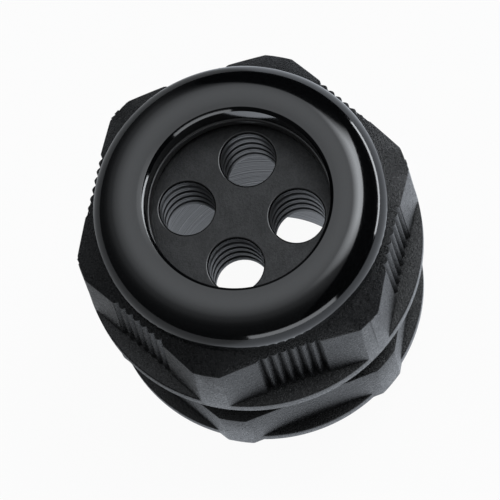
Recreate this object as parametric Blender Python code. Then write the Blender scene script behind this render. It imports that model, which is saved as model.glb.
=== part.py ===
"""Multi-hole cable gland with an M40 x 1.5 entry thread.

Metres, +Z up along the cable axis. The origin is the centre of the spigot's end face, on which the gland stands.
The nut is screwed down by hand: the washer in it is just clear of the rubber insert.
"""
import math

import bmesh
import bpy
from mathutils import Matrix, Vector

MM = 0.001

# Clearances
TOUCH_GAP = 0.3 * MM
THREAD_CLEARANCE = 0.3 * MM

# Spigot that goes through the panel, as a plain cylinder at the thread's pitch line
SPIGOT_RADIUS = 19.55 * MM
SPIGOT_LENGTH = 12.0 * MM
SPIGOT_CHAMFER = 1.0 * MM
RELIEF_DEPTH = 0.6 * MM
RELIEF_HEIGHT = 1.4 * MM

# Sealing ring in the flange's underside
SEAL_CORD = 1.9 * MM
SEAL_SIDE_GAP = 0.25 * MM
SEAL_PROUD = 0.5 * MM
SEAL_LAND = 0.95 * MM
FLANGE_LIP = 1.9 * MM

# Body: flange and hexagon
FLANGE_THICKNESS = 2.2 * MM
BODY_HEX_HEIGHT = 13.1 * MM
CORNER_OVERHANG = 0.65 * MM
CORNER_CUT = 1.108 * MM

# Nut: rim, grooved hexagon and dome
NUT_GAP = 9.0 * MM
NUT_RIM_THICKNESS = 2.5 * MM
NUT_HEX_HEIGHT = 13.4 * MM
NUT_DRAFT = 0.6 * MM
NUT_TURN = math.radians(-2.6)
CROWN_SLOPE = math.tan(math.radians(30))
GROOVES_PER_FACE = 7
GROOVE_PITCH = 1.45 * MM
GROOVE_DEPTH = 0.65 * MM
GROOVE_FOOT_DEPTH = 1.1 * MM
NUT_WALL = 2.55 * MM
DOME_STEP = 1.1 * MM
DOME_HEIGHT = 8.0 * MM
DOME_RING_WIDTH = 8.2 * MM
DOME_SHOULDER_WIDTH = 5.5 * MM
DOME_SHOULDER_DROP = 4.2 * MM
DOME_DISH = 0.2 * MM
DOME_ROOF = 3.8 * MM
BORE_CHAMFER = 0.5 * MM
THREAD_LEAD_IN = 0.8 * MM

# Thrust washer, snapped past a lip in the nut
WASHER_THICKNESS = 1.8 * MM
WASHER_SIDE_GAP = 0.25 * MM
WASHER_REACH = 0.3 * MM
WASHER_ROUND = 0.35 * MM
SNAP_LIP_HEIGHT = 0.6 * MM
SNAP_LIP_DEPTH = 0.5 * MM
POCKET_STEP = 1.8 * MM

# Rubber insert
CABLE_HOLES = 4
CABLE_HOLE_CHAMFER = 0.25 * MM
HOLE_WEB = 3.4 * MM
HOLE_MARGIN = 1.3 * MM
INSERT_HEIGHT = 11.0 * MM
INSERT_CLEARANCE = 0.3 * MM
INSERT_PROUD = 2.5 * MM
INSERT_EDGE = 0.8 * MM
INSERT_TURN = math.radians(3.7)
INSERT_LIFT = 1.0 * MM

# Neck around the insert
NECK_WALL = 2.2 * MM
NECK_CHAMFER = 0.8 * MM
SEAT_WIDTH = 1.2 * MM
SEAT_CHAMFER = 0.5 * MM
NUT_TRAVEL_DOWN = INSERT_LIFT - TOUCH_GAP

# Radii, from the spigot outwards to the corners and back in to the insert and its holes
seal_groove_inner = SPIGOT_RADIUS + SEAL_LAND
seal_groove_outer = seal_groove_inner + SEAL_CORD + 2 * SEAL_SIDE_GAP
flange_radius = seal_groove_outer + FLANGE_LIP
corner_radius = flange_radius + CORNER_OVERHANG
apothem = (corner_radius + CORNER_CUT) * math.cos(math.pi / 6)
nut_thread_radius = apothem - GROOVE_DEPTH - NUT_WALL
neck_radius = nut_thread_radius - THREAD_CLEARANCE
cup_radius = neck_radius - NECK_WALL
insert_radius = cup_radius - INSERT_CLEARANCE
body_bore_radius = insert_radius - SEAT_WIDTH
dome_radius = apothem - DOME_STEP
dome_bore_radius = dome_radius - DOME_RING_WIDTH
hole_reach = dome_bore_radius - HOLE_MARGIN
hole_spread = math.sin(math.pi / CABLE_HOLES)
cable_hole_radius = (hole_reach * hole_spread - HOLE_WEB / 2) / (1 + hole_spread)
hole_circle_radius = hole_reach - cable_hole_radius
pocket_radius = nut_thread_radius - POCKET_STEP
washer_outer = pocket_radius - WASHER_SIDE_GAP
washer_inner = dome_bore_radius - WASHER_REACH

# Heights, from the spigot's end up to the dome and back down to the seat
flange_bottom = SPIGOT_LENGTH
body_hex_top = flange_bottom + BODY_HEX_HEIGHT
nut_bottom = body_hex_top + NUT_GAP
nut_rim_top = nut_bottom + NUT_RIM_THICKNESS
nut_hex_top = nut_rim_top + NUT_HEX_HEIGHT
dome_top = nut_hex_top + DOME_HEIGHT
pocket_roof = dome_top - DOME_ROOF
washer_top = pocket_roof - TOUCH_GAP
washer_bottom = washer_top - WASHER_THICKNESS
insert_top = washer_bottom - INSERT_LIFT
insert_bottom = insert_top - INSERT_HEIGHT
seat_height = insert_bottom - TOUCH_GAP
neck_top = insert_top - INSERT_PROUD
snap_lip_top = washer_bottom - TOUCH_GAP
snap_lip_bottom = snap_lip_top - SNAP_LIP_HEIGHT
pocket_floor = neck_top + NUT_TRAVEL_DOWN + TOUCH_GAP

TURN_STEPS = 90
BORE_STEPS = 64
OVERCUT = 2.0 * MM


def clear_scene():
    for item in list(bpy.data.objects):
        bpy.data.objects.remove(item, do_unlink=True)


def material(name, colour, roughness):
    """A non-metallic Principled material."""
    mat = bpy.data.materials.new(name)
    mat.use_nodes = True
    shader = mat.node_tree.nodes["Principled BSDF"]
    shader.inputs["Base Color"].default_value = (*colour, 1.0)
    shader.inputs["Roughness"].default_value = roughness
    shader.inputs["Metallic"].default_value = 0.0
    mat.diffuse_color = (*colour, 1.0)
    return mat


def finish(name, bm, mat=None):
    """Turns a bmesh into a named object, smooth between sharp edges."""
    bmesh.ops.remove_doubles(bm, verts=bm.verts, dist=1e-7)
    bmesh.ops.recalc_face_normals(bm, faces=bm.faces)
    mesh = bpy.data.meshes.new(name)
    bm.to_mesh(mesh)
    bm.free()
    mesh.shade_smooth()
    mesh.set_sharp_from_angle(angle=math.radians(30))
    obj = bpy.data.objects.new(name, mesh)
    bpy.context.collection.objects.link(obj)
    if mat:
        mesh.materials.append(mat)
    return obj


def arc(centre_r, centre_z, radius, start_deg, end_deg, steps, squash=1.0):
    """Points of a profile's arc; 0 degrees points away from the axis and 90 degrees points up.

    Squash is the arc's height for its width, 1 for a circle's.
    """
    points = []
    for i in range(steps + 1):
        angle = math.radians(start_deg + (end_deg - start_deg) * i / steps)
        points.append((centre_r + radius * math.cos(angle), centre_z + squash * radius * math.sin(angle)))
    return points


def turned(name, profile, steps, mat=None):
    """Turns a closed profile of (radius, height) points about Z. Points on the axis close the solid there."""
    bm = bmesh.new()
    verts = [bm.verts.new((r, 0.0, z)) for r, z in profile]
    edges = [bm.edges.new((verts[i], verts[(i + 1) % len(verts)])) for i in range(len(verts))]
    on_axis = [e for e in edges if max(abs(v.co.x) for v in e.verts) < 1e-9]
    for edge in on_axis:
        bm.edges.remove(edge)
        edges.remove(edge)
    bmesh.ops.spin(bm, geom=verts + edges, axis=(0, 0, 1), cent=(0, 0, 0), angle=2 * math.pi, steps=steps,
                   use_merge=True, use_duplicate=False)
    return finish(name, bm, mat)


def stacked(name, rings, mat=None):
    """Lofts rings of equally many (x, y, z) points and closes both ends."""
    bm = bmesh.new()
    layers = [[bm.verts.new(point) for point in ring] for ring in rings]
    count = len(layers[0])
    for low, high in zip(layers, layers[1:]):
        for i in range(count):
            j = (i + 1) % count
            bm.faces.new((low[i], low[j], high[j], high[i]))
    bm.faces.new(reversed(layers[0]))
    bm.faces.new(layers[-1])
    return finish(name, bm, mat)


def tool(obj):
    """Marks an object as a cutter or a guide."""
    obj.hide_render = True
    obj.display_type = "WIRE"
    return obj


def combine(target, other, operation):
    """Adds a live exact Boolean to the target."""
    modifier = target.modifiers.new(other.name, "BOOLEAN")
    modifier.operation = operation
    modifier.solver = "EXACT"
    modifier.object = tool(other)


def polar(radius, angle):
    return radius * math.cos(angle), radius * math.sin(angle)


def on_circle(points, radius):
    """The same directions as the given outline's points, on a circle."""
    return [polar(radius, math.atan2(y, x)) for x, y in points]


def at_height(points, height):
    return [(x, y, height) for x, y in points]


def corner_arc(corner, grow=0.0, steps=4):
    """The turned corner between two faces, from one face's end to the next one's start."""
    radius = corner_radius + grow
    half = math.pi / 6 - math.acos((apothem + grow) / radius)
    return [polar(radius, corner + half * (2 * i / steps - 1)) for i in range(steps + 1)]


def across_face(face, offsets, grow=0.0):
    """Points on or below a face, from (distance along the face, depth below it) pairs."""
    turn = Matrix.Rotation(face, 2)
    return [tuple(turn @ Vector((apothem + grow - depth, along))) for along, depth in offsets]


def body_outline():
    """The body's hexagon, with points where the flange's circle crosses its faces."""
    crossing = math.sqrt(flange_radius ** 2 - apothem ** 2)
    along = [crossing * share for share in (-1.0, -0.75, -0.5, -0.25, 0.0, 0.25, 0.5, 0.75, 1.0)]
    points = []
    for side in range(6):
        face = math.radians(30 + 60 * side)
        points += across_face(face, [(y, 0.0) for y in along])
        points += corner_arc(face + math.pi / 6)
    return points


def flange_outline(hexagon):
    """The flange's circle, with the hexagon's corners standing out of it."""
    return [point if math.hypot(*point) > flange_radius else polar(flange_radius, math.atan2(point[1], point[0]))
            for point in hexagon]


def nut_outline(grow, groove_depth):
    """The nut's hexagon, grown outwards, with a row of V grooves in the middle of each face."""
    row_end = GROOVES_PER_FACE * GROOVE_PITCH / 2
    face_end = math.sqrt(corner_radius ** 2 - apothem ** 2)
    plain = [row_end + (face_end - row_end) * share for share in (0.7, 0.35)]
    groove_row = []
    for i in range(2 * GROOVES_PER_FACE + 1):
        depth = groove_depth if i % 2 else 0.0
        groove_row.append((GROOVE_PITCH * i / 2 - row_end, depth))
    offsets = [(-y, 0.0) for y in plain] + groove_row + [(y, 0.0) for y in reversed(plain)]
    points = []
    for side in range(6):
        face = math.radians(30 + 60 * side)
        points += across_face(face, offsets, grow)
        points += corner_arc(face + math.pi / 6, grow)
    return points


def crown_height(radius):
    """Height of the cone that chamfers the top of the nut's hexagon; the corners lie lowest."""
    return nut_hex_top + CROWN_SLOPE * (corner_radius - radius)


def crown_edge(foot, corner_level):
    """Carries each line from the foot through the corners' level up to the crown's cone."""
    points = []
    for (foot_x, foot_y), (x, y) in zip(foot, corner_level):
        foot_r, r = math.hypot(foot_x, foot_y), math.hypot(x, y)
        share = (NUT_HEX_HEIGHT + CROWN_SLOPE * (corner_radius - foot_r)) / (
            NUT_HEX_HEIGHT + CROWN_SLOPE * (r - foot_r))
        x, y = foot_x + (x - foot_x) * share, foot_y + (y - foot_y) * share
        points.append((x, y, crown_height(math.hypot(x, y))))
    return points


def body_core_profile():
    """Spigot and neck as one solid of revolution."""
    relief = SPIGOT_RADIUS - RELIEF_DEPTH
    neck_relief = neck_radius - RELIEF_DEPTH
    return [
        (0.0, 0.0),
        (SPIGOT_RADIUS - SPIGOT_CHAMFER, 0.0),
        (SPIGOT_RADIUS, SPIGOT_CHAMFER),
        (SPIGOT_RADIUS, flange_bottom - RELIEF_HEIGHT),
        (relief, flange_bottom - RELIEF_HEIGHT + RELIEF_DEPTH),
        (relief, flange_bottom + FLANGE_THICKNESS),
        (neck_relief, flange_bottom + FLANGE_THICKNESS + TOUCH_GAP),
        (neck_relief, body_hex_top + RELIEF_HEIGHT - RELIEF_DEPTH),
        (neck_radius, body_hex_top + RELIEF_HEIGHT),
        (neck_radius, neck_top - NECK_CHAMFER),
        (neck_radius - NECK_CHAMFER, neck_top),
        (0.0, neck_top),
    ]


def body_bore_profile():
    """Cable passage with the insert's cup above its seat."""
    return [
        (0.0, -OVERCUT),
        (body_bore_radius, -OVERCUT),
        (body_bore_radius, seat_height - SEAT_CHAMFER),
        (body_bore_radius + SEAT_CHAMFER, seat_height),
        (cup_radius, seat_height),
        (cup_radius, neck_top + OVERCUT),
        (0.0, neck_top + OVERCUT),
    ]


def seal_groove_profile():
    top = flange_bottom + SEAL_CORD - SEAL_PROUD + TOUCH_GAP
    return [
        (seal_groove_inner, flange_bottom - OVERCUT / 2),
        (seal_groove_outer, flange_bottom - OVERCUT / 2),
        (seal_groove_outer, top),
        (seal_groove_inner, top),
    ]


def dome_profile():
    """Dome ring as a solid of revolution, sunk into the hexagon below the crown's cone."""
    squash = DOME_SHOULDER_DROP / DOME_SHOULDER_WIDTH
    return [
        (0.0, nut_hex_top - OVERCUT),
        (dome_radius, nut_hex_top - OVERCUT),
        *arc(dome_radius - DOME_SHOULDER_WIDTH, dome_top - DOME_SHOULDER_DROP, DOME_SHOULDER_WIDTH, 0, 90, 8, squash),
        (dome_bore_radius + BORE_CHAMFER, dome_top - DOME_DISH),
        (0.0, dome_top - DOME_DISH),
    ]


def nut_bore_profile():
    """Everything inside the nut: thread, washer pocket with its snap lip, and the dome's bore."""
    bore_mouth = dome_top - DOME_DISH
    return [
        (0.0, nut_bottom - OVERCUT),
        (nut_thread_radius + THREAD_LEAD_IN, nut_bottom - OVERCUT),
        (nut_thread_radius + THREAD_LEAD_IN, nut_bottom),
        (nut_thread_radius, nut_bottom + THREAD_LEAD_IN),
        (nut_thread_radius, pocket_floor),
        (pocket_radius, pocket_floor),
        (pocket_radius, snap_lip_bottom - SNAP_LIP_DEPTH),
        (pocket_radius - SNAP_LIP_DEPTH, snap_lip_bottom),
        (pocket_radius - SNAP_LIP_DEPTH, snap_lip_top),
        (pocket_radius, snap_lip_top),
        (pocket_radius, pocket_roof),
        (dome_bore_radius, pocket_roof),
        (dome_bore_radius, bore_mouth - BORE_CHAMFER),
        (dome_bore_radius + BORE_CHAMFER, bore_mouth),
        (dome_bore_radius + BORE_CHAMFER, bore_mouth + OVERCUT),
        (0.0, bore_mouth + OVERCUT),
    ]


def washer_profile():
    inner = washer_inner + WASHER_ROUND
    return [
        (washer_outer, washer_bottom),
        (washer_outer, washer_top),
        *arc(inner, washer_top - WASHER_ROUND, WASHER_ROUND, 90, 180, 1),
        *arc(inner, washer_bottom + WASHER_ROUND, WASHER_ROUND, 180, 270, 1),
    ]


def insert_profile():
    return [
        (0.0, insert_bottom),
        (insert_radius - INSERT_EDGE, insert_bottom),
        (insert_radius, insert_bottom + INSERT_EDGE),
        (insert_radius, insert_top - INSERT_EDGE),
        *arc(insert_radius - INSERT_EDGE, insert_top - INSERT_EDGE, INSERT_EDGE, 0, 90, 2),
        (0.0, insert_top),
    ]


def cable_hole_profile():
    wide = cable_hole_radius + CABLE_HOLE_CHAMFER
    return [
        (0.0, insert_bottom - OVERCUT),
        (wide, insert_bottom - OVERCUT),
        (wide, insert_bottom),
        (cable_hole_radius, insert_bottom + CABLE_HOLE_CHAMFER),
        (cable_hole_radius, insert_top - CABLE_HOLE_CHAMFER),
        (wide, insert_top),
        (wide, insert_top + OVERCUT),
        (0.0, insert_top + OVERCUT),
    ]


def make_body(mat):
    hexagon = body_outline()
    flange = flange_outline(hexagon)
    flange_top = flange_bottom + FLANGE_THICKNESS
    rings = [at_height(flange, flange_bottom), at_height(flange, flange_top), at_height(hexagon, flange_top),
             at_height(hexagon, body_hex_top)]
    body = stacked("gland_body", rings, mat)
    combine(body, turned("body_core", body_core_profile(), TURN_STEPS), "UNION")
    combine(body, turned("body_bore", body_bore_profile(), BORE_STEPS), "DIFFERENCE")
    combine(body, turned("seal_groove", seal_groove_profile(), BORE_STEPS), "DIFFERENCE")
    return body


def make_nut(mat):
    foot = nut_outline(NUT_DRAFT, GROOVE_FOOT_DEPTH)
    rim = on_circle(foot, corner_radius + NUT_DRAFT)
    edge = crown_edge(foot, nut_outline(0.0, GROOVE_DEPTH))
    crown_radius = dome_radius - DOME_STEP
    crown = on_circle([(x, y) for x, y, _ in edge], crown_radius)
    rings = [at_height(rim, nut_bottom), at_height(rim, nut_rim_top), at_height(foot, nut_rim_top), edge,
             at_height(crown, crown_height(crown_radius))]
    nut = stacked("cap_nut", rings, mat)
    combine(nut, turned("nut_dome", dome_profile(), TURN_STEPS), "UNION")
    combine(nut, turned("nut_bore", nut_bore_profile(), BORE_STEPS), "DIFFERENCE")
    nut.rotation_euler.z = NUT_TURN
    return nut


def make_insert(mat):
    insert = turned("seal_insert", insert_profile(), BORE_STEPS, mat)
    for i in range(CABLE_HOLES):
        hole = turned(f"cable_hole_{i + 1}", cable_hole_profile(), 32)
        x, y = polar(hole_circle_radius, INSERT_TURN + 2 * math.pi * i / CABLE_HOLES)
        hole.location = (x, y, 0.0)
        combine(insert, hole, "DIFFERENCE")
    return insert


def make_washer(mat):
    return turned("thrust_washer", washer_profile(), BORE_STEPS, mat)


def make_flange_seal(mat):
    centre_r = (seal_groove_inner + seal_groove_outer) / 2
    centre_z = flange_bottom - SEAL_PROUD + SEAL_CORD / 2
    ring = arc(centre_r, centre_z, SEAL_CORD / 2, 0, 360, 8)[:-1]
    return turned("flange_o_ring", ring, BORE_STEPS, mat)


clear_scene()
nylon = material("black_nylon", (0.018, 0.018, 0.020), 0.38)
nut_nylon = material("black_nut_nylon", (0.018, 0.018, 0.020), 0.28)
washer_nylon = material("washer_nylon", (0.030, 0.030, 0.032), 0.30)
rubber = material("black_rubber", (0.030, 0.030, 0.031), 0.75)
seal_rubber = material("seal_rubber", (0.020, 0.020, 0.021), 0.60)

make_body(nylon)
make_insert(rubber)
make_washer(washer_nylon)
make_nut(nut_nylon)
make_flange_seal(seal_rubber)
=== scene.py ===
import math

import bpy
from mathutils import Euler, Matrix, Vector


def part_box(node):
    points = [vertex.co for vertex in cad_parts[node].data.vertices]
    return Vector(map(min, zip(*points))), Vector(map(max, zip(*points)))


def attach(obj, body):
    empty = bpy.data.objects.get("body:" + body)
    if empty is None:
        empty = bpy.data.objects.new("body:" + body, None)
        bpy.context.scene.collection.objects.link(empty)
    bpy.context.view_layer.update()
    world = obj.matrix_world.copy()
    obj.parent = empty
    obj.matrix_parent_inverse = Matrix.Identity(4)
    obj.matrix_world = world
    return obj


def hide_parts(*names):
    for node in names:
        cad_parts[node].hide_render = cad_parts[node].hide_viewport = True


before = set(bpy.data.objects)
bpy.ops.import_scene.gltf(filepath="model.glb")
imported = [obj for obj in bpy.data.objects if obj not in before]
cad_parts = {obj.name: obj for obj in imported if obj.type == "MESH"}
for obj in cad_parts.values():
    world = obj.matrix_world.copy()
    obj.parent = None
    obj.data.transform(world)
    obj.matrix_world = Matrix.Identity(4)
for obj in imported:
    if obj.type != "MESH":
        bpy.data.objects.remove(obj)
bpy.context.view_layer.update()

mm = 0.001
turnSteps = 192         # sides of a turned shape
threadSteps = 72        # sides of one thread turn
smoothAngle = math.radians(24)
bevelAngle = math.radians(20)
spare = 1 * mm          # blanks and cutters reach this or a few times this past what they cut
near = 0.02 * mm        # a face whose centre is this close to a surface counts as on it

# Heights and radii that the frame gives
bodyLow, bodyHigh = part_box("gland_body")
nutLow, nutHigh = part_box("cap_nut")
insertLow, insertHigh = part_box("seal_insert")
washerLow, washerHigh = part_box("thrust_washer")
flangeRingLow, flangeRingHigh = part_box("flange_o_ring")
cornerRadius = bodyHigh.x
insertRadius = insertHigh.x


# Tools that every piece uses

def startAlone():
    if bpy.context.mode != "OBJECT":
        bpy.ops.object.mode_set(mode="OBJECT")
    bpy.ops.object.select_all(action="DESELECT")


def pick(piece):
    startAlone()
    piece.select_set(True)
    bpy.context.view_layer.objects.active = piece


def named(name):
    piece = bpy.context.active_object
    piece.name = name
    piece.data.name = name
    return piece


def closeUp():
    bpy.ops.mesh.select_all(action="SELECT")
    bpy.ops.mesh.remove_doubles(threshold=1e-7)
    bpy.ops.mesh.normals_make_consistent(inside=False)
    bpy.ops.object.mode_set(mode="OBJECT")


def settle(piece):
    # the place goes into the mesh, and the object sits at the origin
    pick(piece)
    bpy.ops.object.transform_apply(location=True, rotation=True, scale=True)
    return piece


def arc(centreR, centreZ, radius, start, end, steps, squash=1.0):
    # profile points; 0 degrees points away from the axis and 90 degrees up; squash is the arc's height for
    # its width
    points = []
    for i in range(steps + 1):
        angle = math.radians(start + (end - start) * i / steps)
        points.append((centreR + radius * math.cos(angle), centreZ + squash * radius * math.sin(angle)))
    return points


def turned(name, profile, steps=turnSteps, capped=False):
    # a ring is extruded and scaled from one profile point to the next; a ring-shaped solid's last point
    # joins its first, and a capped one is closed by a disc at either end
    startAlone()
    radius, height = profile[0]
    bpy.ops.mesh.primitive_circle_add(vertices=steps, radius=radius, location=(0, 0, height))
    piece = named(name)
    bpy.ops.object.mode_set(mode="EDIT")
    bpy.ops.mesh.select_mode(type="EDGE")
    bpy.ops.mesh.select_all(action="SELECT")
    for nextRadius, nextHeight in profile[1:]:
        bpy.ops.mesh.extrude_region_move()
        size = nextRadius / radius
        bpy.ops.transform.resize(value=(size, size, 1), center_override=(0, 0, height))
        bpy.ops.transform.translate(value=(0, 0, nextHeight - height))
        radius, height = nextRadius, nextHeight
    bpy.ops.mesh.select_all(action="DESELECT")
    bpy.ops.mesh.select_non_manifold()
    if capped:
        bpy.ops.mesh.fill_holes(sides=0)
    else:
        bpy.ops.mesh.bridge_edge_loops()
    closeUp()
    return settle(piece)


def combine(piece, other, operation):
    pick(piece)
    modifier = piece.modifiers.new("combine", "BOOLEAN")
    modifier.operation = operation
    modifier.solver = "EXACT"
    modifier.object = other
    bpy.ops.object.modifier_apply(modifier="combine")
    bpy.data.objects.remove(other, do_unlink=True)
    return piece


def rounded(piece, width):
    pick(piece)
    modifier = piece.modifiers.new("edges", "BEVEL")
    modifier.width = width
    modifier.segments = 2
    modifier.limit_method = "ANGLE"
    modifier.angle_limit = bevelAngle
    modifier.miter_outer = "MITER_ARC"
    bpy.ops.object.modifier_apply(modifier="edges")
    return piece


def smooth(piece):
    pick(piece)
    bpy.ops.object.shade_smooth_by_angle(angle=smoothAngle)
    return piece


def copied(piece):
    copy = piece.copy()
    copy.data = piece.data.copy()
    bpy.context.collection.objects.link(copy)
    return copy


def joined(pieces, name):
    startAlone()
    for piece in pieces:
        piece.select_set(True)
    bpy.context.view_layer.objects.active = pieces[0]
    bpy.ops.object.join()
    return named(name)


def hexagon(name, apothem, cornerR, low, high, draft=0.0):
    # a turned blank with six flats milled on it; draft is how much a flat leans in from its foot to its top
    startAlone()
    height = high - low
    lean = math.atan2(draft, height)
    bpy.ops.mesh.primitive_cone_add(vertices=turnSteps, radius1=cornerR + draft, radius2=cornerR,
                                    depth=height, location=(0, 0, (low + high) / 2))
    piece = named(name)
    bpy.ops.object.mode_set(mode="EDIT")
    for side in range(6):
        angle = math.radians(30 + 60 * side)
        outward = Vector((math.cos(angle), math.sin(angle), 0))
        bpy.ops.mesh.select_all(action="SELECT")
        bpy.ops.mesh.bisect(plane_co=outward * apothem + Vector((0, 0, high)),
                            plane_no=outward * math.cos(lean) + Vector((0, 0, math.sin(lean))),
                            use_fill=True, clear_outer=True, threshold=1e-6)
    closeUp()
    return settle(piece)


def turnedPlug(name, radius, low, high):
    startAlone()
    bpy.ops.mesh.primitive_cylinder_add(vertices=turnSteps, radius=radius, depth=high - low,
                                        location=(0, 0, (low + high) / 2))
    return settle(named(name))


# sink is how deep a ridge's root lies in its wall, clear how far the ridge's limit stands off its crest, and
# runOut the height over which it fades; the shares are its width at root and crest as parts of the lead
thread = {
    "sink": 0.1 * mm,
    "clear": 0.3 * mm,
    "runOut": 1.1 * mm,
    "rootShare": 0.75,
    "crestShare": 0.15,
}


def threadRidge(name, rootR, crestR, lead, low, turns):
    # one flank profile is screwed up the axis, right-handed
    startAlone()
    bpy.ops.mesh.primitive_plane_add(size=1, location=((rootR + crestR) / 2, 0, low))
    piece = named(name)
    bpy.ops.object.mode_set(mode="EDIT")
    bpy.ops.mesh.delete(type="ONLY_FACE")
    bpy.ops.object.mode_set(mode="OBJECT")
    half = {False: thread["rootShare"] * lead / 2, True: thread["crestShare"] * lead / 2}
    middle = piece.location.x
    for vertex in piece.data.vertices:
        atCrest = (vertex.co.x > 0) == (crestR > rootR)
        upper = vertex.co.y > 0
        vertex.co = ((crestR if atCrest else rootR) - middle, 0, half[atCrest] * (1 if upper else -1))
    settle(piece)
    modifier = piece.modifiers.new("screw", "SCREW")
    modifier.axis = "Z"
    modifier.angle = math.radians(360)
    modifier.screw_offset = lead
    modifier.iterations = turns
    modifier.steps = threadSteps
    modifier.render_steps = threadSteps
    modifier.use_merge_vertices = False
    bpy.ops.object.modifier_apply(modifier="screw")
    bpy.ops.object.mode_set(mode="EDIT")
    bpy.ops.mesh.select_all(action="SELECT")
    bpy.ops.mesh.fill_holes(sides=0)
    closeUp()
    return piece


def isWall(face):
    # steep enough to belong to a wall and not to a floor or a roof
    return abs(face.normal.z) < 0.9


def finishPiece(piece, node, body, slot, *finishes):
    piece.data.materials.clear()
    for finish in finishes:
        piece.data.materials.append(finish)
    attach(piece, body)
    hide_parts(node)


# Finishes

class Wire:
    def __init__(self, tree, socket):
        self.tree = tree
        self.socket = socket

    def math(self, operation, other):
        node = self.tree.nodes.new("ShaderNodeMath")
        node.operation = operation
        for slot, value in zip(node.inputs, (self, other)):
            plug(self.tree, slot, value)
        return Wire(self.tree, node.outputs[0])

    def __add__(self, other):
        return self.math("ADD", other)

    def __radd__(self, other):
        return self.math("ADD", other)

    def __sub__(self, other):
        return self.math("SUBTRACT", other)

    def __mul__(self, other):
        return self.math("MULTIPLY", other)

    def most(self, other):
        return self.math("MAXIMUM", other)


def plug(tree, slot, value):
    if isinstance(value, Wire):
        tree.links.new(value.socket, slot)
    else:
        slot.default_value = value


class Finish:
    def __init__(self, name, tree=None):
        if tree is None:
            self.material = bpy.data.materials.new(name)
            self.material.use_nodes = True
            tree = self.material.node_tree
        self.tree = tree
        self.tree.nodes.clear()

    def node(self, kind, settings=None, inputs=None, output=0):
        made = self.tree.nodes.new(kind)
        for key, value in (settings or {}).items():
            setattr(made, key, value)
        for key, value in (inputs or {}).items():
            plug(self.tree, made.inputs[key], value)
        return Wire(self.tree, made.outputs[output]) if made.outputs else None

    def ramp(self, wire, stops):
        made = self.tree.nodes.new("ShaderNodeValToRGB")
        while len(made.color_ramp.elements) < len(stops):
            made.color_ramp.elements.new(0.5)
        for element, (place, level) in zip(made.color_ramp.elements, stops):
            element.position = place
            element.color = (level, level, level, 1)
        plug(self.tree, made.inputs["Fac"], wire)
        return Wire(self.tree, made.outputs["Color"])

    def mix(self, share, low, high):
        # in a colour mix, inputs 6 and 7 and output 2 are the colours
        made = self.tree.nodes.new("ShaderNodeMix")
        made.data_type = "RGBA"
        plug(self.tree, made.inputs["Factor"], share)
        plug(self.tree, made.inputs[6], low)
        plug(self.tree, made.inputs[7], high)
        return Wire(self.tree, made.outputs[2])

    def place(self):
        return self.node("ShaderNodeTexCoord", output="Object")

    def noise(self, scale, detail=2.0, roughness=0.5):
        return self.node("ShaderNodeTexNoise", {"noise_dimensions": "3D"},
                         {"Vector": self.place(), "Scale": scale, "Detail": detail, "Roughness": roughness})

    def bump(self, height, distance):
        return self.node("ShaderNodeBump", None, {"Height": height, "Distance": distance, "Strength": 1.0})

    def dot(self, one, other):
        # how far one vector points along the other
        return self.node("ShaderNodeVectorMath", {"operation": "DOT_PRODUCT"}, {0: one, 1: other}, "Value")

    def rays(self, *kinds):
        made = self.tree.nodes.new("ShaderNodeLightPath")
        return [Wire(self.tree, made.outputs[kind]) for kind in kinds]

    def surface(self, **inputs):
        sockets = {key.replace("_", " "): value for key, value in inputs.items()}
        made = self.node("ShaderNodeBsdfPrincipled", None, sockets)
        self.node("ShaderNodeOutputMaterial", None, {"Surface": made})
        return self.material


def grey(level):
    return (level, level, level, 1)


# in these dictionaries a length is the size of a pattern, a depth the height of its bump, a share how much of
# the pattern goes into the roughness, a part how much goes into the flecks, and a list the stops of a ramp
grainNylon = {
    "colour": (0.0010, 0.0011, 0.0013, 1),
    "fleck": (0.0125, 0.0128, 0.0135, 1),
    "flecks": [(0.42, 0.0), (0.68, 1.0)],
    "roughness": 0.28,
    "specular": 0.36,
    "grain": 0.24 * mm,
    "grainDepth": 0.09 * mm,
    "cloud": 6 * mm,
    "cloudShare": 0.22,
    "mottle": 0.5 * mm,
    "mottleShare": 0.70,
}


def makeGrainNylon():
    # spark-eroded mould texture: a fine even grain with lighter flecks
    s = grainNylon
    finish = Finish("grainNylon")
    grain = finish.noise(1 / s["grain"], detail=3.0, roughness=0.6)
    cloud = finish.noise(1 / s["cloud"], detail=2.0)
    mottle = finish.noise(1 / s["mottle"], detail=3.0, roughness=0.7)
    colour = finish.mix(finish.ramp(grain, s["flecks"]), s["colour"], s["fleck"])
    roughness = s["roughness"] + (cloud - 0.5) * s["cloudShare"] + (mottle - 0.5) * s["mottleShare"]
    return finish.surface(Base_Color=colour, Roughness=roughness, Specular_IOR_Level=s["specular"],
                          Normal=finish.bump(grain, s["grainDepth"]))


glossNylon = {
    "colour": (0.0010, 0.0011, 0.0013, 1),
    "bloom": (0.0035, 0.0037, 0.0040, 1),
    "blooms": [(0.40, 0.0), (0.70, 1.0)],
    "roughness": 0.08,
    "specular": 0.50,
    "speck": 0.24 * mm,
    "haze": 0.9 * mm,
    "hazes": [(0.45, 0.0), (0.80, 1.0)],
    "hazeShare": 0.05,
    "wave": 5 * mm,
    "waveDepth": 0.010 * mm,
}


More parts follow.
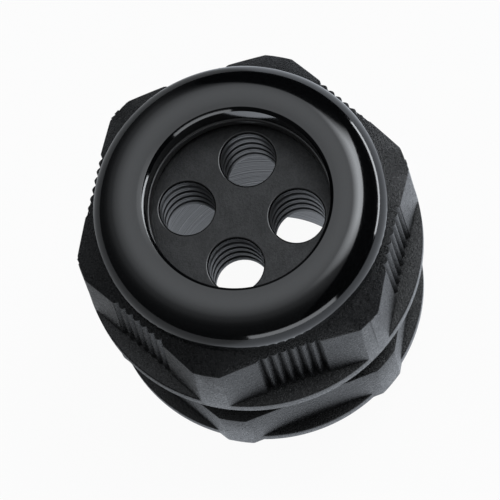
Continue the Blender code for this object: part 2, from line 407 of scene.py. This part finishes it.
def makeGlossNylon():
    # the polished cavity of the dome: a slight shrinkage wave, faint haze and a fine bloom of paler specks
    s = glossNylon
    finish = Finish("glossNylon")
    wave = finish.noise(1 / s["wave"], detail=1.0)
    haze = finish.noise(1 / s["haze"], detail=4.0, roughness=0.65)
    speck = finish.noise(1 / s["speck"], detail=2.0, roughness=0.7)
    colour = finish.mix(finish.ramp(speck, s["blooms"]), s["colour"], s["bloom"])
    roughness = s["roughness"] + finish.ramp(haze, s["hazes"]) * s["hazeShare"]
    return finish.surface(Base_Color=colour, Roughness=roughness, Specular_IOR_Level=s["specular"],
                          Normal=finish.bump(wave, s["waveDepth"]))


boreNylonPaintedLight = {
    # both colours here are painted light: far paler than the black nylon, they stand for the light that the
    # floor below throws into the bore
    "colour": (0.022, 0.0228, 0.0240, 1),
    "pale": grey(0.080),
    "pales": [(0.35, 0.0), (0.65, 1.0)],
    "smoothest": 0.14,
    "lineShare": 0.5,
    "specular": 0.5,
    "line": 0.55 * mm,
    "lineDepth": 0.11 * mm,
    "drift": 14 * mm,
    "driftHeight": 0.6 * mm,
}


def makeBoreNylonPaintedLight():
    # fine lines run round the wall, as a turned core pin leaves them, and drift a little up and down; the
    # wall's paleness is painted light from the floor below
    s = boreNylonPaintedLight
    finish = Finish("boreNylonPaintedLight")
    height = finish.node("ShaderNodeSeparateXYZ", None, {"Vector": finish.place()}, "Z")
    drift = finish.noise(1 / s["drift"], detail=1.0) * s["driftHeight"]
    lines = finish.node("ShaderNodeTexNoise", {"noise_dimensions": "1D"},
                        {"W": (height + drift) * (1 / s["line"]), "Scale": 1.0, "Detail": 1.5})
    colour = finish.mix(finish.ramp(lines, s["pales"]), s["colour"], s["pale"])
    return finish.surface(Base_Color=colour, Roughness=lines * s["lineShare"] + s["smoothest"],
                          Specular_IOR_Level=s["specular"], Normal=finish.bump(lines, s["lineDepth"]))


insertRubber = {
    "colour": (0.0020, 0.0021, 0.0023, 1),
    "fleck": (0.0200, 0.0203, 0.0210, 1),
    "flecks": [(0.40, 0.0), (0.62, 1.0)],
    "roughness": 0.52,
    "specular": 0.36,
    "grain": 0.30 * mm,
    "grainDepth": 0.06 * mm,
    "grainPart": 0.45,
    "cloud": 2.4 * mm,
    "cloudPart": 0.55,
}


def makeInsertRubber():
    # dull rubber with a fine bloom of lighter specks, thicker in some places
    s = insertRubber
    finish = Finish("insertRubber")
    grain = finish.noise(1 / s["grain"], detail=2.5, roughness=0.7)
    cloud = finish.noise(1 / s["cloud"], detail=4.0, roughness=0.6)
    flecks = finish.ramp(grain * s["grainPart"] + cloud * s["cloudPart"], s["flecks"])
    colour = finish.mix(flecks, s["colour"], s["fleck"])
    return finish.surface(Base_Color=colour, Roughness=s["roughness"], Specular_IOR_Level=s["specular"],
                          Normal=finish.bump(grain, s["grainDepth"]))


smoothFinish = {"haze": 1.2 * mm, "hazeShare": 0.06, "hazeDepth": 0.004 * mm}


def makeSmooth(name, colour, roughness):
    s = smoothFinish
    finish = Finish(name)
    haze = finish.noise(1 / s["haze"], detail=3.0)
    return finish.surface(Base_Color=colour, Roughness=roughness + (haze - 0.5) * s["hazeShare"],
                          Normal=finish.bump(haze, s["hazeDepth"]))


finishes = {
    "grain": makeGrainNylon(),
    "gloss": makeGlossNylon(),
    # the bore finish is painted light: paler than the nylon, for the light from the floor below
    "bore": makeBoreNylonPaintedLight(),
    "rubber": makeInsertRubber(),
    "washer": makeSmooth("washerNylon", grey(0.03), 0.30),
    "seal": makeSmooth("sealRubber", grey(0.02), 0.55),
    "lip": makeSmooth("lipRubber", grey(0.002), 0.24),
}
print("finishes made")


# Cap nut

nut = {
    "turn": math.radians(-2.6),
    "apothem": 23.0 * mm,
    "cornerRadius": cornerRadius,
    "draft": 0.6 * mm,
    "crownSlope": math.tan(math.radians(30)),
    "rimRadius": nutHigh.x,
    "rimTop": nutLow.z + 2.5 * mm,
    "rimEdge": 0.25 * mm,
    "hexTop": nutHigh.z - 8.0 * mm,
    "sleeveRadius": 21.2 * mm,
    "hexHoleRadius": 20.7 * mm,
    "crownInner": 21.0 * mm,
    "hexEdge": 0.14 * mm,
    "grooves": 7,
    "groovePitch": 1.45 * mm,
    "grooveDepth": 0.65 * mm,
    "grooveFootDepth": 1.1 * mm,
    "grooveSpan": (-0.1, 1.3),
    "ribSink": 0.10 * mm,
    "ribRound": 1.8,
    "ribSteps": 10,
    "domeRadius": 21.9 * mm,
    "domeFoot": 0.25 * mm,
    "shoulderWidth": 5.5 * mm,
    "shoulderDrop": 4.2 * mm,
    "dish": 0.2 * mm,
    "boreRadius": 13.7 * mm,
    "boreChamfer": 0.5 * mm,
    "boreEdge": 0.12 * mm,
    "boreEdgeShare": 0.4,
    "pocketRoof": nutHigh.z - 3.8 * mm,
    "pocketRadius": 18.0 * mm,
    "lipRadius": 17.5 * mm,
    "lipTop": 51.8 * mm,
    "lipHeight": 0.6 * mm,
    "lipLead": 0.5 * mm,
    "pocketFloor": 49.6 * mm,
    "threadRoot": 20.2 * mm,
    "threadCrest": 19.35 * mm,
    "threadRelief": 1.2 * mm,
    "leadIn": 0.8 * mm,
    "lead": 2.0 * mm,
}


def crownHeight(radius):
    # the cone that chamfers the hexagon's top; its corners lie lowest
    return nut["hexTop"] + nut["crownSlope"] * (nut["cornerRadius"] - radius)


def nutProfile():
    # anticlockwise from the foot of the lead-in: rim, sleeve, dome, bore, washer pocket, thread bore
    n = nut
    rim, edge = n["rimRadius"], n["rimEdge"]
    top, mouth = nutHigh.z, nutHigh.z - n["dish"]
    foot = n["domeFoot"]
    shoulderR = n["domeRadius"] - n["shoulderWidth"]
    bore, chamfer, lip = n["boreRadius"], n["boreChamfer"], n["boreEdge"]
    inner = bore + chamfer + lip * n["boreEdgeShare"]
    return [
        (n["threadRoot"] + n["leadIn"], nutLow.z),
        *arc(rim - edge, nutLow.z + edge, edge, -90, 0, 4),
        *arc(rim - edge, n["rimTop"] - edge, edge, 0, 90, 4),
        (n["sleeveRadius"], n["rimTop"]),
        (n["sleeveRadius"], n["hexTop"]),
        (n["domeRadius"] - foot, n["hexTop"] + foot),
        *arc(n["domeRadius"] - foot, crownHeight(n["domeRadius"]) + foot, foot, -90, 0, 6),
        *arc(shoulderR, top - n["shoulderDrop"], n["shoulderWidth"], 0, 90, 40,
             n["shoulderDrop"] / n["shoulderWidth"]),
        *[(shoulderR + (inner - shoulderR) * s, top - n["dish"] * s ** 2) for s in (0.25, 0.5, 0.75)],
        *arc(inner, mouth - lip, lip, 90, 135, 3),
        (bore, mouth - chamfer - lip),
        (bore, n["pocketRoof"] + lip),
        (bore + lip, n["pocketRoof"]),
        (n["pocketRadius"], n["pocketRoof"]),
        (n["pocketRadius"], n["lipTop"]),
        (n["lipRadius"], n["lipTop"]),
        (n["lipRadius"], n["lipTop"] - n["lipHeight"]),
        (n["pocketRadius"], n["lipTop"] - n["lipHeight"] - n["lipLead"]),
        (n["pocketRadius"], n["pocketFloor"]),
        (n["threadRoot"], n["pocketFloor"]),
        (n["threadRoot"], nutLow.z + n["leadIn"]),
    ]


def ribDepth(across):
    # how deep the face lies below its plane: 1 in a groove's bottom and 0 on a rib's round crest
    pitch = nut["groovePitch"]
    fromBottom = abs((across / pitch + nut["grooves"] / 2) % 1 - 0.5) * 2
    return (1 - fromBottom) ** nut["ribRound"]


def grooveCutters():
    # a sheet with one face's row of grooves is thickened outwards and copied round the nut
    n = nut
    startAlone()
    columns = n["grooves"] * n["ribSteps"]
    bpy.ops.mesh.primitive_grid_add(x_subdivisions=columns, y_subdivisions=1, size=1)
    row = named("grooveRow")
    width = n["grooves"] * n["groovePitch"]
    tall = n["hexTop"] - n["rimTop"]
    for vertex in row.data.vertices:
        share = n["grooveSpan"][vertex.co.y > 0]
        across = vertex.co.x * width
        deepest = n["grooveFootDepth"] + (n["grooveDepth"] - n["grooveFootDepth"]) * share
        depth = n["ribSink"] + (deepest - n["ribSink"]) * ribDepth(across)
        vertex.co = (across, depth - n["apothem"] - n["draft"] * (1 - share), n["rimTop"] + tall * share)
    bpy.ops.object.mode_set(mode="EDIT")
    bpy.ops.mesh.select_all(action="SELECT")
    bpy.ops.mesh.extrude_region_move(TRANSFORM_OT_translate={"value": (0, -3 * spare, 0)})
    closeUp()
    settle(row)
    rows = []
    for side in range(6):
        copy = copied(row)
        copy.rotation_euler.z = math.radians(60 * side)
        rows.append(settle(copy))
    bpy.data.objects.remove(row, do_unlink=True)
    return joined(rows, "grooves")


def makeNut():
    n = nut
    low, high = n["rimTop"] - 0.5 * spare, n["hexTop"] + 4 * spare
    lean = n["draft"] / (n["hexTop"] - n["rimTop"])
    blank = hexagon("capNut", n["apothem"] - lean * (high - n["hexTop"]),
                    n["cornerRadius"] - lean * (high - n["hexTop"]), low, high, lean * (high - low))
    wide = n["rimRadius"] + 2 * spare
    crown = turned("crown", [(wide, low - spare), (wide, crownHeight(wide)),
                             (n["crownInner"], crownHeight(n["crownInner"]))], capped=True)
    combine(blank, crown, "INTERSECT")
    rounded(blank, n["hexEdge"])
    hole = turnedPlug("hexHole", n["hexHoleRadius"], n["rimTop"] - 3 * spare, n["hexTop"] + 6 * spare)
    combine(blank, hole, "DIFFERENCE")
    combine(blank, grooveCutters(), "DIFFERENCE")
    combine(blank, turned("nutTurned", nutProfile()), "UNION")
    combine(blank, nutThread(), "UNION")
    blank.rotation_euler.z = n["turn"]
    return smooth(settle(blank))


def nutThread():
    # about half a turn out of step with the neck's thread, so its ridge lies in the neck's groove
    n = nut
    root, inside = n["threadRoot"], n["threadCrest"] - spare
    turns = int((n["pocketFloor"] - nutLow.z) / n["lead"]) + 2
    ridge = threadRidge("nutThread", root + thread["sink"], n["threadCrest"], n["lead"],
                        nutLow.z - n["lead"] / 2, turns)
    top = n["pocketFloor"] - n["threadRelief"]
    keep = turned("threadLimit", [
        (inside, nutLow.z),
        (root + n["leadIn"], nutLow.z),
        (root + thread["clear"], nutLow.z + n["leadIn"] - thread["clear"]),
        (root + thread["clear"], top),
        (inside, top),
    ])
    return combine(ridge, keep, "INTERSECT")


def paintNut(piece):
    # gloss on the dome and on all that lies inside it above its foot, grain on the rest
    n = nut
    foot = crownHeight(n["domeRadius"]) - near
    for face in piece.data.polygons:
        out = math.hypot(face.center.x, face.center.y)
        onDome = face.center.z > foot and out < n["domeRadius"] + near
        face.material_index = 1 if onDome else 0


capNut = makeNut()
finishPiece(capNut, "cap_nut", "nut", "nut_nylon", finishes["grain"], finishes["gloss"])
paintNut(capNut)
print("cap nut made", len(capNut.data.polygons), "faces")


# Body: flange, hexagon, spigot and neck

body = {
    "apothem": 23.0 * mm,
    "flangeBottom": 12.0 * mm,
    "flangeTop": 14.2 * mm,
    "flangeRadius": 24.8 * mm,
    "flangeEdge": 0.25 * mm,
    "hexTop": 25.1 * mm,
    "hexEdge": 0.14 * mm,
    "boreRadius": 15.8 * mm,
    "boreEdge": 0.4 * mm,
    "boreNear": 0.6 * mm,
    "seat": 39.8 * mm,
    "seatChamfer": 0.5 * mm,
    "cupRadius": 17.3 * mm,
    "cupEdge": 0.15 * mm,
    "neckRoot": 19.05 * mm,
    "neckCrest": 19.95 * mm,
    "neckEdge": 0.35 * mm,
    "neckFillet": 0.5 * mm,
    "neckHole": 0.55 * mm,
    "neckSink": 1.0 * mm,
    "neckFoot": 26.4 * mm,
    "neckChamfer": 0.9 * mm,
    "neckBack": 0.05 * mm,
    "lead": 2.0 * mm,
    "spigotRoot": 19.1 * mm,
    "spigotCrest": 20.0 * mm,
    "spigotEdge": 0.3 * mm,
    "spigotFoot": 10.7 * mm,
    "spigotChamfer": 1.0 * mm,
    "spigotBack": 0.35 * mm,
    "spigotPitch": 1.5 * mm,
    "faceSink": 0.01 * mm,
    "flangeSink": 0.3 * mm,
    "grooveInner": 20.5 * mm,
    "grooveOuter": 22.9 * mm,
    "grooveTop": 13.7 * mm,
}


def bodyProfile():
    # from the spigot's end out and up to the neck's top, then down the cup and the bore
    b = body
    edge, fillet = b["flangeEdge"], b["neckFillet"]
    face = b["hexTop"] - b["faceSink"]
    return [
        (b["boreRadius"] + b["boreEdge"], bodyLow.z),
        (b["spigotRoot"] - b["spigotEdge"], bodyLow.z),
        (b["spigotRoot"], bodyLow.z + b["spigotEdge"]),
        (b["spigotRoot"], b["flangeBottom"]),
        (b["grooveInner"], b["flangeBottom"]),
        (b["grooveInner"], b["grooveTop"]),
        (b["grooveOuter"], b["grooveTop"]),
        (b["grooveOuter"], b["flangeBottom"]),
        *arc(b["flangeRadius"] - edge, b["flangeBottom"] + edge, edge, -90, 0, 4),
        *arc(b["flangeRadius"] - edge, b["flangeTop"] - edge, edge, 0, 90, 4),
        (b["neckRoot"] + b["neckSink"], b["flangeTop"]),
        (b["neckRoot"] + b["neckSink"], b["hexTop"] - b["neckSink"]),
        (b["neckRoot"] + fillet, face),
        *arc(b["neckRoot"] + fillet, face + fillet, fillet, 270, 180, 4),
        (b["neckRoot"], bodyHigh.z - b["neckEdge"]),
        (b["neckRoot"] - b["neckEdge"], bodyHigh.z),
        (b["cupRadius"] + b["cupEdge"], bodyHigh.z),
        (b["cupRadius"], bodyHigh.z - b["cupEdge"]),
        (b["cupRadius"], b["seat"]),
        (b["boreRadius"] + b["seatChamfer"], b["seat"]),
        (b["boreRadius"], b["seat"] - b["seatChamfer"]),
        (b["boreRadius"], bodyLow.z + b["boreEdge"]),
    ]


def bodyThread(name, pitch, foot, end):
    # an outside thread that fades at its foot, next to the hexagon, and is chamfered at its free end
    root, crest = body[name + "Root"], body[name + "Crest"]
    chamfer, back = body[name + "Chamfer"], body[name + "Back"]
    low, high = min(foot, end), max(foot, end)
    turns = int((high - low) / pitch) + 3
    start = math.floor((low - pitch) / pitch) * pitch
    ridge = threadRidge(name + "Thread", root - thread["sink"], crest, pitch, start, turns)
    way = 1 if end > foot else -1
    wide = crest + thread["clear"]
    limit = [
        (root - spare, foot),
        (root + thread["sink"], foot),
        (wide, foot + way * thread["runOut"]),
        (wide, end - way * (chamfer + thread["clear"])),
        (root - thread["sink"], end - way * back),
        (root - spare, end - way * back),
    ]
    return combine(ridge, turned("threadLimit", limit[::way]), "INTERSECT")


def makeBody():
    b = body
    hexBody = hexagon("glandBody", b["apothem"], cornerRadius, b["flangeBottom"], b["hexTop"])
    rounded(hexBody, b["hexEdge"])
    combine(hexBody, turnedPlug("hexBodyHole", b["grooveOuter"], b["flangeBottom"] - 2 * spare,
                                b["flangeTop"] - b["flangeSink"]), "DIFFERENCE")
    combine(hexBody, turnedPlug("hexNeckHole", b["neckRoot"] + b["neckHole"], b["flangeBottom"] - 3 * spare,
                                b["hexTop"] + 3 * spare), "DIFFERENCE")
    combine(hexBody, turned("bodyTurned", bodyProfile()), "UNION")
    combine(hexBody, bodyThread("neck", b["lead"], b["neckFoot"], bodyHigh.z), "UNION")
    combine(hexBody, bodyThread("spigot", b["spigotPitch"], b["spigotFoot"], bodyLow.z), "UNION")
    return smooth(hexBody)


def paintBody(piece):
    # the core pin's lines on the wall of the bore, with painted light from the floor below, grain on the rest
    for face in piece.data.polygons:
        out = math.hypot(face.center.x, face.center.y)
        face.material_index = 1 if out < body["boreRadius"] + body["boreNear"] and isWall(face) else 0


glandBody = makeBody()
finishPiece(glandBody, "gland_body", "root", "body_nylon", finishes["grain"], finishes["bore"])
paintBody(glandBody)
print("body made", len(glandBody.data.polygons), "faces")


# Rubber insert with ribbed cable holes

insert = {
    "edge": 0.8 * mm,
    "holes": 4,
    "holeRadius": 4.14 * mm,
    "holeCircle": 8.26 * mm,
    "turn": math.radians(3.7),
    "lip": 0.30 * mm,
    "ribs": 4,
    "ribPitch": 2.3 * mm,
    "ribDepth": 0.15 * mm,
    "ribSharpness": 4,
    "ribSteps": 16,
    "holeSteps": 96,
}


def insertProfile():
    edge = insert["edge"]
    outer = insertRadius - edge
    return [
        (outer, insertLow.z),
        (insertRadius, insertLow.z + edge),
        *arc(outer, insertHigh.z - edge, edge, 0, 90, 8),
    ]


def holeProfile():
    # from below the insert to above it: broad round ribs with narrow grooves, between two plain lips
    s = insert
    radius, lip = s["holeRadius"], s["lip"]
    low, high = insertLow.z, insertHigh.z
    wave = []
    start = (low + high - s["ribs"] * s["ribPitch"]) / 2
    steps = s["ribSteps"] * s["ribs"]
    for i in range(steps + 1):
        height = start + s["ribs"] * s["ribPitch"] * i / steps
        phase = 2 * math.pi * s["ribs"] * i / steps
        wave.append((radius + s["ribDepth"] * (0.5 - 0.5 * math.cos(phase)) ** s["ribSharpness"], height))
    return [
        (radius + lip, low - spare),
        (radius + lip, low),
        *arc(radius + lip, low + lip, lip, 225, 180, 2),
        *wave,
        *arc(radius + lip, high - lip, lip, 180, 90, 4),
        (radius + lip, high + spare),
    ]


def holeCentres():
    s = insert
    out = s["holeCircle"]
    angles = [s["turn"] + math.radians(360 / s["holes"] * i) for i in range(s["holes"])]
    return [Vector((out * math.cos(angle), out * math.sin(angle), 0)) for angle in angles]


def makeInsert():
    rubber = turned("sealInsert", insertProfile(), capped=True)
    cutter = turned("cableHole", holeProfile(), insert["holeSteps"], capped=True)
    for centre in holeCentres():
        copy = copied(cutter)
        copy.location = centre
        combine(rubber, settle(copy), "DIFFERENCE")
    bpy.data.objects.remove(cutter, do_unlink=True)
    return smooth(rubber)


def paintInsert(piece):
    # smooth skin on the holes' upper lips, and on their walls the lines that the mould's pins leave, with the
    # bore's painted light from the floor below
    s = insert
    wall, lip = s["holeRadius"] + s["ribDepth"] + near, s["holeRadius"] + s["lip"] + near
    centres = [centre.xy for centre in holeCentres()]
    for face in piece.data.polygons:
        out = min((face.center.xy - centre).length for centre in centres)
        level = abs(face.normal.z) > 0.999
        onLip = out < lip and face.center.z > insertHigh.z - s["lip"] and not level
        onWall = out < wall and isWall(face)
        face.material_index = 1 if onLip else 2 if onWall else 0


sealInsert = makeInsert()
finishPiece(sealInsert, "seal_insert", "root", "insert_rubber",
            finishes["rubber"], finishes["lip"], finishes["bore"])
paintInsert(sealInsert)
print("insert made", len(sealInsert.data.polygons), "faces")


# Thrust washer and flange ring

washer = {"inner": 13.4 * mm, "round": 0.35 * mm}


def makeWasher():
    inner, edge = washer["inner"] + washer["round"], washer["round"]
    return smooth(turned("thrustWasher", [
        (washerHigh.x, washerLow.z),
        (washerHigh.x, washerHigh.z),
        *arc(inner, washerHigh.z - edge, edge, 90, 180, 6),
        *arc(inner, washerLow.z + edge, edge, 180, 270, 6),
    ]))


thrustWasher = makeWasher()
finishPiece(thrustWasher, "thrust_washer", "washer", "washer_nylon", finishes["washer"])

sealCord = (flangeRingHigh.z - flangeRingLow.z) / 2
startAlone()
bpy.ops.mesh.primitive_torus_add(major_segments=turnSteps, minor_segments=24, minor_radius=sealCord,
                                 major_radius=flangeRingHigh.x - sealCord,
                                 location=(0, 0, (flangeRingHigh.z + flangeRingLow.z) / 2))
flangeRing = smooth(settle(named("flangeRing")))
finishPiece(flangeRing, "flange_o_ring", "root", "seal_rubber", finishes["seal"])
print("washer and flange ring made")


# Floor, light and camera

# the floor's look in reflections is painted: from left to right, over glowWidth, it runs from a painted
# shadow of the gland to painted light, and a disc under the gland, out to its radius, is a painted pool of
# light; stops go from 0 to 1 along either
stage = {
    "floorSize": 6.0,
    "floorWhite": 0.55,
    "floorShare": 0.95,
    "paintedShadowAndGlow": [(0.0, 0.01), (0.27, 0.02), (0.42, 0.75), (0.55, 1.0), (1.0, 1.0)],
    "glowWidth": 0.14,
    "reflectedTint": (0.93, 0.99, 1.08, 1),
    "paintedLightDisc": [(0.0, 0.85), (0.75, 0.85), (0.80, 0.0)],
    "paintedLightRadius": 0.020,
    "aim": (0, 0, 0.045),
}

# the room's light over the directions: a soft sky round one of them, darker near the top, cut off on the
# right by a flag that leans from flagFoot up, and a brighter window beside the flag; a stop is how far a
# direction points along the list's own one, and the share of the light there
room = {
    "rightward": (0.168, -0.980, -0.105),
    "upward": (0.945, 0.130, 0.302),
    "skyCentre": (0.338, 0.163, 0.927),
    "tint": (0.96, 1.0, 1.045, 1),
    "skyLevel": 1.9,
    "sky": [(0.0, 0.02), (0.25, 0.03), (0.45, 0.04), (0.60, 0.08), (0.80, 0.26), (0.93, 0.68), (1.0, 1.0)],
    "ceiling": [(0.0, 1.0), (0.84, 1.0), (0.94, 0.12)],
    "flag": [(0.0, 1.0), (0.40, 1.0), (0.43, 0.02)],
    "windowLevel": 7.0,
    "windowAcross": [(0.0, 0.0), (0.26, 1.0), (0.40, 1.0), (0.42, 0.0)],
    "windowUp": [(0.25, 0.0), (0.50, 1.0), (0.76, 1.0), (0.84, 0.0)],
    "flagLean": 3.2,
    "flagFoot": 0.71,
}

# each panel stands 1 m from the gland: degrees round it from +X, degrees up, width, height and brightness
panels = {
    "lowRight": (306, 5, 1.0, 0.13, 10.0),
    "lowFront": (215, 9, 0.95, 0.28, 3.4),
}


view = {
    "sensor": 36.0,
    "lens": 249.4,
    "place": (-0.15023, -0.07914, 0.53673),
    "angles": (17.66, 6.04, -80.26),
}


def makeFloor():
    # seen directly or through something it is almost white, with a lit rest that keeps the gland's shadow;
    # reflections see a painted shadow on its left, painted light on its right and a painted pool of light
    # under the gland
    startAlone()
    bpy.ops.mesh.primitive_plane_add(size=stage["floorSize"], location=(0, 0, 0))
    floor = settle(named("floor"))
    finish = Finish("paleFloor")
    spot = finish.place()
    across = finish.dot(spot, room["rightward"])
    away = finish.node("ShaderNodeVectorMath", {"operation": "LENGTH"}, {0: spot}, "Value")
    # painted shadow and light: reflections see the floor dark on the left, where the gland's shadow would
    # fall, bright on the right, and a bright pool under the gland
    paintedShadowAndGlow = finish.ramp(across * (1 / stage["glowWidth"]) + 0.5, stage["paintedShadowAndGlow"])
    disc = finish.ramp(away * (1 / stage["paintedLightRadius"]), stage["paintedLightDisc"])
    camera, through, reflected = finish.rays("Is Camera Ray", "Is Transmission Ray", "Is Glossy Ray")
    seen = (camera.most(through) * stage["floorShare"]).most(reflected * paintedShadowAndGlow.most(disc))
    # reflections see the floor in a cooler tint than the camera does, a painted reflection colour
    colour = finish.mix(reflected, grey(1), stage["reflectedTint"])
    white = finish.node("ShaderNodeEmission", None, {"Color": colour, "Strength": 1.0})
    shaded = finish.node("ShaderNodeBsdfDiffuse", None, {"Color": grey(stage["floorWhite"])})
    both = finish.node("ShaderNodeMixShader", None, {0: seen, 1: shaded, 2: white})
    finish.node("ShaderNodeOutputMaterial", None, {"Surface": both})
    floor.data.materials.append(finish.material)


def makeRoom():
    # seen directly or through something it is white; reflections and the gland's light come from the room
    world = bpy.data.worlds.new("room")
    bpy.context.scene.world = world
    world.use_nodes = True
    finish = Finish("room", world.node_tree)
    camera, through = finish.rays("Is Camera Ray", "Is Transmission Ray")
    outward = finish.node("ShaderNodeTexCoord", output="Generated")
    across, upward = finish.dot(outward, room["rightward"]), finish.dot(outward, room["upward"])
    leaning = across + (upward - room["flagFoot"]).most(0.0) * room["flagLean"]
    flag = finish.ramp(leaning, room["flag"])
    sky = finish.ramp(finish.dot(outward, room["skyCentre"]), room["sky"]) * flag
    window = finish.ramp(across, room["windowAcross"]) * finish.ramp(upward, room["windowUp"])
    ceiling = finish.ramp(upward, room["ceiling"])
    light = sky * ceiling * room["skyLevel"] + window * room["windowLevel"]
    lit = finish.node("ShaderNodeBackground", None, {"Color": room["tint"], "Strength": light})
    white = finish.node("ShaderNodeBackground", None, {"Color": grey(1), "Strength": 1.0})
    both = finish.node("ShaderNodeMixShader", None, {0: camera.most(through), 1: lit, 2: white})
    finish.node("ShaderNodeOutputWorld", None, {"Surface": both})


def makeSoftbox(name, azimuth, elevation, width, height, level):
    # level is the panel's brightness, where 1 is white
    data = bpy.data.lights.new(name, "AREA")
    data.shape = "RECTANGLE"
    data.size, data.size_y = width, height
    data.energy = level * math.pi * width * height
    data.color = room["tint"][:3]
    lamp = bpy.data.objects.new(name, data)
    bpy.context.collection.objects.link(lamp)
    turn, up = math.radians(azimuth), math.radians(elevation)
    outward = Vector((math.cos(up) * math.cos(turn), math.cos(up) * math.sin(turn), math.sin(up)))
    lamp.location = Vector(stage["aim"]) + outward
    lamp.rotation_mode = "QUATERNION"
    lamp.rotation_quaternion = outward.to_track_quat("Z", "Y")


def makeCamera():
    data = bpy.data.cameras.new("camera")
    data.sensor_width = view["sensor"]
    data.lens = view["lens"]
    camera = bpy.data.objects.new("camera", data)
    bpy.context.collection.objects.link(camera)
    camera.location = view["place"]
    camera.rotation_euler = Euler([math.radians(angle) for angle in view["angles"]])
    bpy.context.scene.camera = camera


makeFloor()
makeRoom()
for name, values in panels.items():
    makeSoftbox(name, *values)
makeCamera()
bpy.context.scene.view_settings.view_transform = "Standard"
print("stage set")
